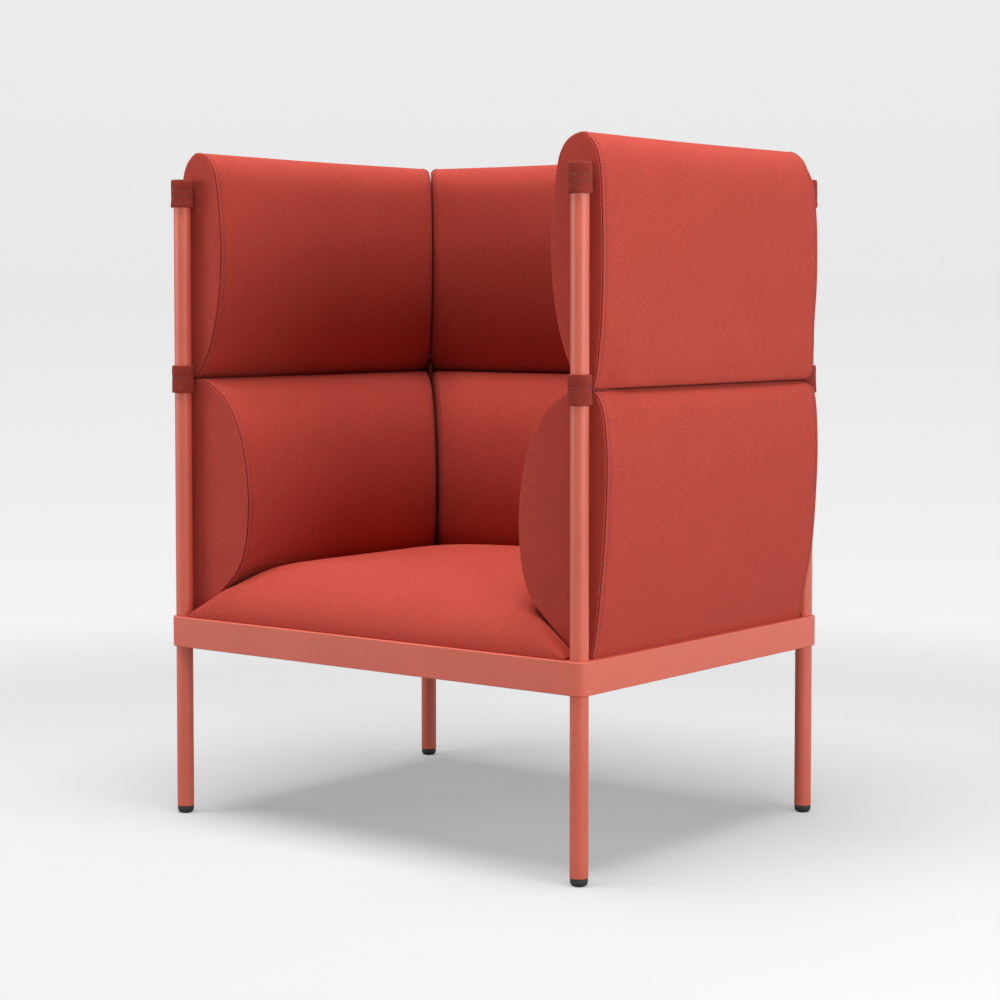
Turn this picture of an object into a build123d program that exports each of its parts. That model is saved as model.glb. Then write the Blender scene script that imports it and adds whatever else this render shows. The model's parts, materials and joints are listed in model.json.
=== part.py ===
from build123d import *
import math
import os

# High-back armchair: a powder-coated tube and box-rail frame that carries a seat cushion and
# six upholstered panels, three low and three high, tied to the posts by fabric sleeves.
# Millimetres. +Z is up, the chair faces -Y, and +X is on the right seen from the front.
# The origin is on the floor, under the middle of the whole chair. The pieces are first placed
# about the middle of the four posts, and then moved together, because the back panel reaches
# further out than the front rail does.

# Frame
POST_SPAN_X = 880.0        # between post axes, across the chair
POST_SPAN_Y = 690.0        # between post axes, front to back
TUBE_D = 30.0              # legs and posts
TUBE_WALL = 2.0
TUBE_RIM_R = 0.9           # softened rim at the tube ends
LEG_LENGTH = 291.0
POST_LENGTH = 778.0
RAIL_HEIGHT = 54.0
RAIL_OVERHANG = 5.0        # rail face beyond the tube
RAIL_WALL = 2.5
RAIL_EDGE_R = 1.6
CROSS_BAR_WIDTH = 40.0
CROSS_BAR_HEIGHT = 20.0
CROSS_BAR_WALL = 2.0
CROSS_BAR_SPAN = 340.0     # between the middles of the two cross bars

# Threaded joints in the frame
STUD_D = 10.0
STUD_REACH = 20.0          # of a corner stud into each tube
STUD_CLEARANCE = 0.25      # round the stud in the corner block
THREAD_FIT = 0.05          # round the stud in its thread
INSERT_LENGTH = 25.0
PRESS_GAP = 0.05           # round a plug in its tube
PLUG_FLANGE = 2.0
PLUG_DEPTH = 15.0

# Levelling feet
FOOT_HEIGHT = 13.0
FOOT_TOP_D = 28.8
FOOT_BASE_D = 19.0
FOOT_RIM = 3.0             # upright rim below the tube
FOOT_STUD_UP = 24.0        # of the foot's stud into the leg
FOOT_STUD_DOWN = 8.0       # of the foot's stud into the glide
COLLAR_D = 17.0
COLLAR_THICKNESS = 2.5

# Bolts
BOLT_D = 8.0
BOLT_HEAD_ACROSS = 13.0    # across the flats of the hexagon
BOLT_HEAD_HEIGHT = 5.3
BOLT_CLEARANCE = 0.3       # round the shank in a plain hole
BOLT_GRIP = 12.0           # of a seat bolt in the seat board
PANEL_BOLT_GRIP = 34.0     # of a panel bolt in the panel board
SEAT_BOLT_SPAN = 500.0
SIDE_BOLT_SPAN = 400.0
BACK_BOLT_SPAN = 560.0

# Upholstery
COVER = 1.5                # thickness of the fabric and its lining
SOFT_GAP = 0.3             # between a cover and what it lies against
PANEL_SETBACK = 22.0       # panel end to post axis
CAP_EDGE_R = 4.0           # rounding round a panel's end
BOARD = 15.0               # plywood
BOARD_SHIFT = 4.0          # board's middle inside the post axis
BOARD_END_MARGIN = 24.0    # board end to panel end

# Low panels: sizes across are from the post axis, heights from the panel's foot
LOW_HEIGHT = 425.5
LOW_FOOT_OUT = 8.0
LOW_FOOT_IN = 24.0
LOW_FOOT_R = 5.5
LOW_OUT_BULGE = 46.0
LOW_OUT_RISE = 290.0
LOW_OUT_R = 500.0
LOW_TOP_OUT = 18.0
LOW_TOP_R = 22.0
LOW_SHOULDER_IN = 100.0
LOW_SHOULDER_R = 110.0
LOW_BELLY_IN = 147.0
LOW_BELLY_RISE = 240.0
LOW_BELLY_R = 250.0
LOW_KNEE_IN = 120.0
LOW_KNEE_RISE = 80.0
LOW_KNEE_R = 80.0
LOW_BOARD_TOP_MARGIN = 32.0

# High panels
HIGH_HEIGHT = 405.0
HIGH_FOOT_OUT = 15.0
HIGH_FOOT_R = 5.5
HIGH_HIP_OUT = 32.0
HIGH_HIP_RISE = 90.0
HIGH_OUT_BULGE = 31.0
HIGH_OUT_RISE = 275.0
HIGH_OUT_R = 250.0
HIGH_TOP_OUT = 20.0
HIGH_TOP_OUT_R = 48.0
HIGH_TOP_IN = 64.0
HIGH_TOP_IN_R = 44.0
HIGH_BELLY_IN = 78.0
HIGH_BELLY_RISE = 275.0
HIGH_BELLY_R = 300.0
HIGH_KNEE_IN = 58.0
HIGH_KNEE_RISE = 104.0
HIGH_KNEE_R = 150.0
HIGH_BOARD_FOOT_MARGIN = 34.0
HIGH_BOARD_TOP_MARGIN = 40.0

# Seat cushion
SEAT_NOSE_OUT = 6.0        # front foot of the cushion beyond the post axes
SEAT_NOSE_LEAN = 27.0      # how far the nose leans back
SEAT_NOSE_R = 90.0
SEAT_FOOT_R = 6.0
SEAT_HEIGHT = 104.0        # crown above the rails
SEAT_CROWN = 20.0          # drop of the crown at the cushion's sides
SEAT_BOARD_MARGIN = 32.0
SEAT_FLANK_RUN = 15.0      # how far below its foot the cushion's flank is drawn

# Fabric sleeves on the posts
SLEEVE_HEIGHT = 50.0
SLEEVE_WALL = 4.2
SLEEVE_ROOF = 3.0
SLEEVE_EDGE_R = 1.4
TAB_WIDTH = 6.0
TAB_MARGIN = 5.0           # sleeve rim to tab
STRAP = 1.8                # strap that runs between a low and a high panel
STRAP_WIDTH = 13.0
STRAP_OFFSET = 5.0         # strap's middle outside the post axis
STRAP_REACH = 32.0         # strap into the joint, past the panel's end

# Worked out
POST_X = POST_SPAN_X / 2
POST_Y = POST_SPAN_Y / 2
TUBE_R = TUBE_D / 2
BORE_R = TUBE_R - TUBE_WALL
RAIL_WIDTH = TUBE_D + 2 * RAIL_OVERHANG
RAIL_HALF = RAIL_WIDTH / 2
RAIL_BOTTOM = FOOT_HEIGHT + LEG_LENGTH
RAIL_TOP = RAIL_BOTTOM + RAIL_HEIGHT
POST_TOP = RAIL_TOP + POST_LENGTH
JOINT_GAP = STRAP + 2 * SOFT_GAP
LOW_FOOT = RAIL_TOP + SOFT_GAP
LOW_TOP = LOW_FOOT + LOW_HEIGHT
HIGH_FOOT = LOW_TOP + JOINT_GAP
HIGH_TOP = HIGH_FOOT + HIGH_HEIGHT
JOINT_MIDDLE = LOW_TOP + JOINT_GAP / 2
SLEEVE_R = TUBE_R + SLEEVE_WALL
SLEEVE_TOP = POST_TOP + PLUG_FLANGE + SOFT_GAP + SLEEVE_ROOF
BOARD_GAP = COVER + SOFT_GAP
BOARD_OUT = BOARD / 2 - BOARD_SHIFT
BOARD_IN = BOARD / 2 + BOARD_SHIFT
SEAT_FOOT = RAIL_TOP + SOFT_GAP
SEAT_TOP = SEAT_FOOT + SEAT_HEIGHT
SEAT_BOARD_FOOT = SEAT_FOOT + BOARD_GAP

CORNERS = {
    "front_left": (-1, -1),
    "front_right": (1, -1),
    "rear_left": (-1, 1),
    "rear_right": (1, 1),
}


def cylinder(radius, bottom, top, x=0.0, y=0.0):
    """An upright cylinder between two heights."""
    return Pos(x, y, (bottom + top) / 2) * Cylinder(radius, top - bottom)


def block(x0, x1, y0, y1, z0, z1):
    """A box between two corners."""
    middle = Pos((x0 + x1) / 2, (y0 + y1) / 2, (z0 + z1) / 2)
    return middle * Box(x1 - x0, y1 - y0, z1 - z0)


def tube(bottom, top):
    """A straight round tube with softened outer rims."""
    outer = cylinder(TUBE_R, bottom, top)
    rims = outer.edges().filter_by(GeomType.CIRCLE)
    outer = fillet(rims, radius=min(TUBE_RIM_R, 0.45 * TUBE_WALL))
    return outer - cylinder(BORE_R, bottom, top)


def tube_insert(bottom):
    """A turned steel plug with a threaded bore, pressed into a tube end."""
    body = cylinder(BORE_R - PRESS_GAP, bottom, bottom + INSERT_LENGTH)
    return body - cylinder(STUD_D / 2 + THREAD_FIT, bottom, bottom + INSERT_LENGTH)


def post_plug():
    """A plastic plug that closes the top of a post."""
    flange = cylinder(TUBE_R, POST_TOP, POST_TOP + PLUG_FLANGE)
    return flange + cylinder(BORE_R - PRESS_GAP, POST_TOP - PLUG_DEPTH, POST_TOP)


def corner_block():
    """A steel corner, rounded outside about the post axis, drilled for the joining stud."""
    block_body = block(-RAIL_HALF, RAIL_HALF, -RAIL_HALF, RAIL_HALF, RAIL_BOTTOM, RAIL_TOP)
    upright = block_body.edges().filter_by(Axis.Z)
    outer = upright.sort_by(lambda e: e.center().X + e.center().Y)[0]
    body = fillet(outer, radius=RAIL_HALF)
    level = body.edges().filter_by(Plane.XY)
    rims = [e for e in level if e.center().X + e.center().Y < 0]
    body = fillet(rims, radius=RAIL_EDGE_R)
    return body - cylinder(STUD_D / 2 + STUD_CLEARANCE, RAIL_BOTTOM, RAIL_TOP)


def rail(length):
    """A box rail along X, centred on the origin in plan, with rounded long edges."""
    half = length / 2
    outer = block(-half, half, -RAIL_HALF, RAIL_HALF, RAIL_BOTTOM, RAIL_TOP)
    outer = fillet(outer.edges().filter_by(Axis.X), radius=RAIL_EDGE_R)
    hollow = block(
        -half, half,
        RAIL_WALL - RAIL_HALF, RAIL_HALF - RAIL_WALL,
        RAIL_BOTTOM + RAIL_WALL, RAIL_TOP - RAIL_WALL,
    )
    return outer - hollow


def hex_bolt(seat, top):
    """A hexagon bolt whose head bears upwards on the height seat."""
    head_sketch = RegularPolygon(BOLT_HEAD_ACROSS / 2, 6, major_radius=False)
    head = Pos(0, 0, seat - BOLT_HEAD_HEIGHT) * extrude(head_sketch, BOLT_HEAD_HEIGHT)
    return head + cylinder(BOLT_D / 2, seat, top)


def foot_glide():
    """A domed black glide, flat underneath, with a bore for its stud and collar."""
    rim = FOOT_TOP_D / 2
    base = FOOT_BASE_D / 2
    shoulder = FOOT_HEIGHT - FOOT_RIM
    belly = (base + 0.8 * (rim - base), 0.36 * shoulder)
    outline = Polyline((base, 0), (0, 0), (0, FOOT_HEIGHT), (rim, FOOT_HEIGHT), (rim, shoulder))
    outline += ThreePointArc((rim, shoulder), belly, (base, 0))
    body = revolve(Plane.XZ * make_face(outline), axis=Axis.Z)
    foot_end = FOOT_HEIGHT - FOOT_STUD_DOWN
    body -= cylinder(STUD_D / 2 + THREAD_FIT, foot_end - THREAD_FIT, FOOT_HEIGHT)
    collar_top = foot_end + COLLAR_THICKNESS + THREAD_FIT
    return body - cylinder(COLLAR_D / 2 + THREAD_FIT, foot_end - THREAD_FIT, collar_top)


def foot_stud():
    """The glide's steel stud, with the collar that the glide is moulded round."""
    foot_end = FOOT_HEIGHT - FOOT_STUD_DOWN
    shank = cylinder(STUD_D / 2, foot_end, FOOT_HEIGHT + FOOT_STUD_UP)
    return shank + cylinder(COLLAR_D / 2, foot_end, foot_end + COLLAR_THICKNESS)


def low_outline():
    """Corners of a low panel's section: across from the post axis, height, rounding."""
    return [
        (LOW_FOOT_OUT, LOW_FOOT, LOW_FOOT_R),
        (LOW_OUT_BULGE, LOW_FOOT + LOW_OUT_RISE, LOW_OUT_R),
        (LOW_TOP_OUT, LOW_TOP, LOW_TOP_R),
        (-LOW_SHOULDER_IN, LOW_TOP, LOW_SHOULDER_R),
        (-LOW_BELLY_IN, LOW_FOOT + LOW_BELLY_RISE, LOW_BELLY_R),
        (-LOW_KNEE_IN, LOW_FOOT + LOW_KNEE_RISE, LOW_KNEE_R),
        (-LOW_FOOT_IN, LOW_FOOT, LOW_FOOT_R),
    ]


def high_outline():
    """Corners of a high panel's section: across from the post axis, height, rounding."""
    return [
        (HIGH_FOOT_OUT, HIGH_FOOT, HIGH_FOOT_R),
        (HIGH_HIP_OUT, HIGH_FOOT + HIGH_HIP_RISE, HIGH_OUT_R),
        (HIGH_OUT_BULGE, HIGH_FOOT + HIGH_OUT_RISE, HIGH_OUT_R),
        (HIGH_TOP_OUT, HIGH_TOP, HIGH_TOP_OUT_R),
        (-HIGH_TOP_IN, HIGH_TOP, HIGH_TOP_IN_R),
        (-HIGH_BELLY_IN, HIGH_FOOT + HIGH_BELLY_RISE, HIGH_BELLY_R),
        (-HIGH_KNEE_IN, HIGH_FOOT + HIGH_KNEE_RISE, HIGH_KNEE_R),
        (0.0, HIGH_FOOT, HIGH_FOOT_R),
    ]


def seat_outline(top):
    """Corners of the seat's section from front to back, up to the given top: Y, height, rounding."""
    front = -(POST_Y + SEAT_NOSE_OUT)
    return [
        (POST_Y, SEAT_FOOT, SEAT_FOOT_R),
        (POST_Y, top, SEAT_FOOT_R),
        (front + SEAT_NOSE_LEAN, top, SEAT_NOSE_R),
        (front, SEAT_FOOT, SEAT_FOOT_R),
    ]


def flank_outline():
    """A low panel's section with its inner flank drawn on below the foot, to shape the seat."""
    slope = (LOW_KNEE_IN - LOW_FOOT_IN) / LOW_KNEE_RISE
    corners = low_outline()
    low = LOW_FOOT - SEAT_FLANK_RUN
    corners[0] = (LOW_FOOT_OUT, low, SOFT_GAP)
    corners[-1] = (slope * SEAT_FLANK_RUN - LOW_FOOT_IN, low, SOFT_GAP)
    return corners


def drawn_in(corners, inset):
    """The same outline, parallel to itself and smaller by inset, or larger if negative."""
    count = len(corners)
    points = [Vector(across, height) for across, height, rounding in corners]
    moved = []
    for i in range(count):
        before = (points[i] - points[i - 1]).normalized()
        after = (points[(i + 1) % count] - points[i]).normalized()
        half_turn = before.get_signed_angle(after) / 2
        bisector = (after - before).normalized()
        shift = inset / math.cos(math.radians(half_turn))
        place = points[i] + bisector * shift
        moved.append((place.X, place.Y, max(corners[i][2] - inset, 0.2)))
    return moved


def eased_radii(corners):
    """Each corner's rounding, eased where two of them would meet on a short side."""
    count = len(corners)
    points = [Vector(across, height) for across, height, rounding in corners]
    reach = []
    slopes = []
    for i in range(count):
        before = (points[i] - points[i - 1]).normalized()
        after = (points[(i + 1) % count] - points[i]).normalized()
        slope = math.tan(math.radians(before.get_angle(after) / 2))
        slopes.append(slope)
        reach.append(corners[i][2] * slope)
    radii = [corner[2] for corner in corners]
    for i in range(count):
        following = (i + 1) % count
        side = (points[following] - points[i]).length * 0.98
        over = reach[i] + reach[following]
        if over > side:
            radii[i] = min(radii[i], reach[i] * side / over / slopes[i])
            radii[following] = min(radii[following], reach[following] * side / over / slopes[following])
    return radii


def outline_face(corners, inset=0.0):
    """A flat face inside a closed outline with rounded corners."""
    shape = drawn_in(corners, inset)
    points = [(across, height) for across, height, rounding in shape]
    return make_face(FilletPolyline(points, radius=eased_radii(shape), close=True))


def cap_edges(solid, along):
    """Edges round the flat ends of a panel that runs along the given direction."""
    found = []
    for face in solid.faces().filter_by(GeomType.PLANE):
        normal = face.normal_at(face.center())
        if abs(normal.Z) < 0.01 and abs(normal.dot(along)) > 0.5:
            found.extend(face.edges())
    unique = []
    for edge in found:
        if not any((edge.center() - other.center()).length < 0.001 for other in unique):
            unique.append(edge)
    return unique


def mitre_plane(side_x, side_y, inset):
    """The plane of a mitred end, which goes through the post axis at 45 degrees."""
    toward = Vector(side_x, -side_y, 0).normalized()
    base = Vector(side_x * POST_X, side_y * POST_Y, 0)
    return Plane(origin=base + toward * (SOFT_GAP + inset), z_dir=toward)


def side_panel(corners, inset=0.0):
    """The right-hand panel: a square front end and a mitred rear end."""
    front = -(POST_Y - PANEL_SETBACK - inset)
    rear = POST_Y - PANEL_SETBACK - inset
    section = Plane(origin=(POST_X, front, 0), x_dir=(1, 0, 0), z_dir=(0, -1, 0))
    solid = extrude(section * outline_face(corners, inset), amount=rear - front, dir=(0, 1, 0))
    solid = split(solid, bisect_by=mitre_plane(1, 1, inset), keep=Keep.TOP)
    return fillet(cap_edges(solid, Vector(0, 1, 0)), radius=CAP_EDGE_R - inset)


def back_panel(corners, inset=0.0):
    """The back panel, mitred at both ends."""
    end = POST_X - PANEL_SETBACK - inset
    section = Plane(origin=(-end, POST_Y, 0), x_dir=(0, 1, 0), z_dir=(1, 0, 0))
    solid = extrude(section * outline_face(corners, inset), amount=2 * end, dir=(1, 0, 0))
    for side in (-1, 1):
        plane = mitre_plane(side, 1, inset)
        facing = Plane(origin=plane.origin - plane.z_dir * 2 * (SOFT_GAP + inset), z_dir=plane.z_dir)
        solid = split(solid, bisect_by=facing, keep=Keep.BOTTOM)
    return fillet(cap_edges(solid, Vector(1, 0, 0)), radius=CAP_EDGE_R - inset)


def panel_board(length, foot, top):
    """A plywood board along X, centred in plan, its outer face towards +Y."""
    return block(-length / 2, length / 2, -BOARD_IN, BOARD_OUT, foot, top)


def bolt_holes(shape, places, bottom, top, clearance):
    """The shape with an upright bolt hole at each place."""
    for x, y in places:
        shape -= cylinder(BOLT_D / 2 + clearance, bottom, top, x, y)
    return shape


def seat_form(inset=0.0):
    """The seat cushion: a rounded nose, a crown across, and sides that follow the low panels."""
    half = POST_X - RAIL_HALF
    sections = []
    for x, top in ((-half, SEAT_TOP - SEAT_CROWN), (0.0, SEAT_TOP), (half, SEAT_TOP - SEAT_CROWN)):
        plane = Plane(origin=(x, 0, 0), x_dir=(0, 1, 0), z_dir=(1, 0, 0))
        sections.append(plane * outline_face(seat_outline(top), inset))
    solid = loft(sections)
    flank = outline_face(flank_outline(), -(SOFT_GAP + inset))
    reach = POST_SPAN_X + POST_SPAN_Y
    for side in (-1, 1):
        plane = Plane(origin=(side * POST_X, -reach, 0), x_dir=(side, 0, 0), z_dir=(0, -side, 0))
        solid -= extrude(plane * flank, amount=2 * reach, dir=(0, 1, 0))
    plane = Plane(origin=(-reach, POST_Y, 0), x_dir=(0, 1, 0), z_dir=(1, 0, 0))
    solid -= extrude(plane * flank, amount=2 * reach, dir=(1, 0, 0))
    return solid.solids().sort_by(SortBy.VOLUME)[-1]


def sleeve(bottom, top, roofed, directions, strapped):
    """A fabric sleeve round a post, with tabs to the panel ends and, where asked, straps."""
    body = cylinder(SLEEVE_R, bottom, top)
    rims = body.edges().filter_by(GeomType.CIRCLE)
    body = fillet(rims, radius=SLEEVE_EDGE_R)
    tab_end = PANEL_SETBACK - SOFT_GAP
    for turn in directions:
        tab = block(
            0, tab_end,
            -TAB_WIDTH / 2, TAB_WIDTH / 2,
            bottom + TAB_MARGIN, top - TAB_MARGIN,
        )
        body += Rot(0, 0, turn[0]) * tab
        if strapped:
            side = turn[1] * STRAP_OFFSET
            strap = block(
                0, PANEL_SETBACK + STRAP_REACH,
                side - STRAP_WIDTH / 2, side + STRAP_WIDTH / 2,
                JOINT_MIDDLE - STRAP / 2, JOINT_MIDDLE + STRAP / 2,
            )
            body += Rot(0, 0, turn[0]) * strap
    hollow_top = top - SLEEVE_ROOF if roofed else top
    return body - cylinder(TUBE_R + SOFT_GAP, bottom, hollow_top)


def tab_directions(side_x, side_y):
    """Angle of each tab of a post's sleeves, and the side of it that is outside the chair."""
    to_side_panel = (-90.0 * side_y, side_x * side_y)
    if side_y < 0:
        return [to_side_panel]
    to_back_panel = (180.0 if side_x > 0 else 0.0, -side_x)
    return [to_side_panel, to_back_panel]


def group(solids):
    """Separate solids in one node."""
    return Compound(children=list(solids))


def build_parts():
    """Every node of the chair, by name."""
    parts = {}
    side_bolts = [(POST_X - BOARD_SHIFT, side * SIDE_BOLT_SPAN / 2) for side in (-1, 1)]
    back_bolts = [(side * BACK_BOLT_SPAN / 2, POST_Y - BOARD_SHIFT) for side in (-1, 1)]
    mirrored_bolts = [(-x, y) for x, y in side_bolts]
    seat_bolts = [
        (x * SEAT_BOLT_SPAN / 2, y * CROSS_BAR_SPAN / 2) for x in (-1, 1) for y in (-1, 1)
    ]

    # Frame
    long_rail = rail(POST_SPAN_X - RAIL_WIDTH)
    short_rail = Rot(0, 0, 90) * rail(POST_SPAN_Y - RAIL_WIDTH)
    through = (RAIL_BOTTOM, RAIL_TOP, BOLT_CLEARANCE)
    parts["rail_front"] = Pos(0, -POST_Y, 0) * long_rail
    parts["rail_rear"] = bolt_holes(Pos(0, POST_Y, 0) * long_rail, back_bolts, *through)
    parts["rail_right"] = bolt_holes(Pos(POST_X, 0, 0) * short_rail, side_bolts, *through)
    parts["rail_left"] = bolt_holes(Pos(-POST_X, 0, 0) * short_rail, mirrored_bolts, *through)
    for name, side_y in (("front", -1), ("rear", 1)):
        reach = POST_X - RAIL_HALF
        y = side_y * CROSS_BAR_SPAN / 2
        half = CROSS_BAR_WIDTH / 2
        wall = CROSS_BAR_WALL
        foot = RAIL_TOP - CROSS_BAR_HEIGHT
        bar = block(-reach, reach, y - half, y + half, foot, RAIL_TOP)
        bar -= block(-reach, reach, y - half + wall, y + half - wall, foot + wall, RAIL_TOP - wall)
        parts["cross_bar_" + name] = bolt_holes(bar, seat_bolts, foot, RAIL_TOP, BOLT_CLEARANCE)

    # Corners, legs, posts and feet
    corner = corner_block()
    leg = tube(FOOT_HEIGHT, RAIL_BOTTOM)
    post = tube(RAIL_TOP, POST_TOP)
    glide = foot_glide()
    stud = foot_stud()
    studs = []
    inserts = []
    plugs = []
    for name, (side_x, side_y) in CORNERS.items():
        place = Pos(side_x * POST_X, side_y * POST_Y, 0)
        turn = math.degrees(math.atan2(side_y, side_x)) - math.degrees(math.atan2(-1, -1))
        parts["corner_block_" + name] = place * Rot(0, 0, turn) * corner
        parts["leg_" + name] = place * leg
        parts["post_" + name] = place * post
        parts["foot_glide_" + name] = place * glide
        parts["foot_stud_" + name] = place * stud
        studs.append(place * cylinder(STUD_D / 2, RAIL_BOTTOM - STUD_REACH, RAIL_TOP + STUD_REACH))
        for bottom in (FOOT_HEIGHT, RAIL_BOTTOM - INSERT_LENGTH, RAIL_TOP):
            inserts.append(place * tube_insert(bottom))
        plugs.append(place * post_plug())
        directions = tab_directions(side_x, side_y)
        top_sleeve = sleeve(SLEEVE_TOP - SLEEVE_HEIGHT, SLEEVE_TOP, True, directions, False)
        parts["sleeve_top_" + name] = place * top_sleeve
        mid_foot = JOINT_MIDDLE - SLEEVE_HEIGHT / 2
        mid_sleeve = sleeve(mid_foot, mid_foot + SLEEVE_HEIGHT, False, directions, True)
        parts["sleeve_mid_" + name] = place * mid_sleeve
    parts["corner_studs"] = group(studs)
    parts["tube_inserts"] = group(inserts)
    parts["post_top_plugs"] = group(plugs)

    # Bolts
    seat_bolt = hex_bolt(RAIL_TOP - CROSS_BAR_HEIGHT, SEAT_BOARD_FOOT + BOLT_GRIP)
    panel_bolt = hex_bolt(RAIL_BOTTOM, LOW_FOOT + BOARD_GAP + PANEL_BOLT_GRIP)
    parts["seat_bolts"] = group(Pos(x, y, 0) * seat_bolt for x, y in seat_bolts)
    panel_places = side_bolts + mirrored_bolts + back_bolts
    parts["panel_bolts"] = group(Pos(x, y, 0) * panel_bolt for x, y in panel_places)

    # Panels
    side_length = POST_SPAN_Y - 2 * (PANEL_SETBACK + BOARD_END_MARGIN)
    back_length = POST_SPAN_X - 2 * (PANEL_SETBACK + BOARD_END_MARGIN)
    side_place = Pos(POST_X, 0, 0) * Rot(0, 0, -90)
    back_place = Pos(0, POST_Y, 0)
    low_foot = LOW_FOOT + BOARD_GAP
    levels = {
        "lower": (low_outline(), low_foot, LOW_TOP - LOW_BOARD_TOP_MARGIN),
        "upper": (high_outline(), HIGH_FOOT + HIGH_BOARD_FOOT_MARGIN, HIGH_TOP - HIGH_BOARD_TOP_MARGIN),
    }
    for level, (corners, foot, top) in levels.items():
        for side, form, place, length, places in (
            ("right", side_panel, side_place, side_length, side_bolts),
            ("back", back_panel, back_place, back_length, back_bolts),
        ):
            board = place * panel_board(length, foot, top)
            cover = form(corners) - form(corners, COVER)
            foam = form(corners, COVER + SOFT_GAP) - board
            if level == "lower":
                board = bolt_holes(board, places, foot, foot + PANEL_BOLT_GRIP, THREAD_FIT)
                cover = bolt_holes(cover, places, RAIL_TOP, foot, BOLT_CLEARANCE)
            for piece, shape in (("board", board), ("foam", foam), ("cover", cover)):
                parts[side + "_" + level + "_" + piece] = shape
                if side == "right":
                    parts["left_" + level + "_" + piece] = mirror(shape, about=Plane.YZ)

    # Seat
    board_half = POST_X - LOW_FOOT_IN - SEAT_BOARD_MARGIN
    board_back = POST_Y - LOW_FOOT_IN - SEAT_BOARD_MARGIN
    board_front = -(POST_Y + SEAT_NOSE_OUT - SEAT_BOARD_MARGIN)
    seat_board = block(
        -board_half, board_half, board_front, board_back, SEAT_BOARD_FOOT, SEAT_BOARD_FOOT + BOARD
    )
    parts["seat_foam"] = seat_form(COVER + SOFT_GAP) - seat_board
    grip_top = SEAT_BOARD_FOOT + BOLT_GRIP
    parts["seat_board"] = bolt_holes(seat_board, seat_bolts, SEAT_BOARD_FOOT, grip_top, THREAD_FIT)
    seat_cover = seat_form() - seat_form(COVER)
    parts["seat_cover"] = bolt_holes(seat_cover, seat_bolts, RAIL_TOP, SEAT_BOARD_FOOT, BOLT_CLEARANCE)

    # Centre the whole chair on the origin
    back_reach = outline_face(low_outline()).bounding_box().max.X
    centred = Pos(0, (RAIL_HALF - back_reach) / 2, 0)
    return {name: centred * shape for name, shape in parts.items()}


def main():
    os.makedirs("parts", exist_ok=True)
    for name, shape in build_parts().items():
        export_step(shape, os.path.join("parts", name + ".step"))
        print(name, len(shape.solids()), round(shape.volume))


if __name__ == "__main__":
    main()
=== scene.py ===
# %% [markdown]
# A high back armchair: a thin round-tube frame, a crowned seat, and thick padded panels round the
# sides and the back that fabric sleeves tie to the posts. The hard parts come ready made from the
# CAD model. This lesson sews the covers, wraps the sleeves, mixes the finishes and sets up the studio.

# %% Load the frame
import bpy
import bmesh
import json
import math
import numpy as np
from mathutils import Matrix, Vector
from mathutils.bvhtree import BVHTree


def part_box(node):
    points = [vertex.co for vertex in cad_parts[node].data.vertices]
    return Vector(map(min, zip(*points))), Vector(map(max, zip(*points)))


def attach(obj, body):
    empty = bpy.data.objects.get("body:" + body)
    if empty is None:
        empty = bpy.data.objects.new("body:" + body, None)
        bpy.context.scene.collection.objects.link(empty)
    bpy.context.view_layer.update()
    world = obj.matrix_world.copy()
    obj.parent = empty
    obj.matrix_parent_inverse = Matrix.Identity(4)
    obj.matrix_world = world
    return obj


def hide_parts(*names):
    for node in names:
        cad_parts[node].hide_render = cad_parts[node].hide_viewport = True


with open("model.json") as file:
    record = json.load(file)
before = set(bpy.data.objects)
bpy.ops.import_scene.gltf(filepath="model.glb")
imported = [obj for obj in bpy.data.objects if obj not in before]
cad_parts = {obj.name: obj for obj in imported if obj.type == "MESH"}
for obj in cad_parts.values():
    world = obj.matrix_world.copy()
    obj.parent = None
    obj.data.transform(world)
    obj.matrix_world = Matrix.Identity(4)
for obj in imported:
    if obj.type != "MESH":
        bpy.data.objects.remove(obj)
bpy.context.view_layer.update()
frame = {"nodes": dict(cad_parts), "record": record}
bpy.ops.object.select_all(action="DESELECT")

# %% [markdown]
# Every new piece has to sit where the CAD parts are. So the few places that matter, the axes of the
# posts, the top of the rails and the feet of the panels, are measured from the loaded parts.

# %% Measure the frame
MM = 0.001


def middle(node):
    """Middle of a CAD node's box."""
    low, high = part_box(node)
    return (Vector(low) + Vector(high)) / 2


post_x = middle("post_front_right").x
front_y = middle("post_front_right").y
rear_y = middle("post_rear_right").y
rail_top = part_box("rail_front")[1][2]
low_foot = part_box("right_lower_cover")[0][2]
high_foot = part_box("right_upper_cover")[0][2]
print("posts at", round(post_x, 4), round(front_y, 4), round(rear_y, 4), "rail top", round(rail_top, 4))

# %% [markdown]
# The camera stands in front of the chair and to the right, half a metre above the seat, with a long
# lens. It hardly tilts. The lens is shifted downwards instead, which keeps the posts nearly upright.

# %% Place the camera
CAMERA_PLACE = (2.5932, -3.3224, 0.9183)
LOOK_DOWN = 2.795  # degrees below level
LOOK_LEFT = 37.889  # degrees to the left of straight to the back
LENS = 84.28
LENS_SHIFT = (-0.001, -0.081)

bpy.ops.object.camera_add(
    location=CAMERA_PLACE,
    rotation=(math.radians(90 - LOOK_DOWN), 0, math.radians(LOOK_LEFT)),
)
camera = bpy.context.object
camera.name = "camera"
camera.data.sensor_width = 36
camera.data.lens = LENS
camera.data.shift_x, camera.data.shift_y = LENS_SHIFT
bpy.context.scene.camera = camera
bpy.context.scene.view_settings.view_transform = "Standard"
print("camera lens", camera.data.lens)

# %% [markdown]
# Materials are node graphs. The first helper fills in a node's sockets and links what is given as
# another node's output. The others are the steps that most finishes share: a noise, a colour that
# follows it, a gloss that follows it, and bumps.

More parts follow.
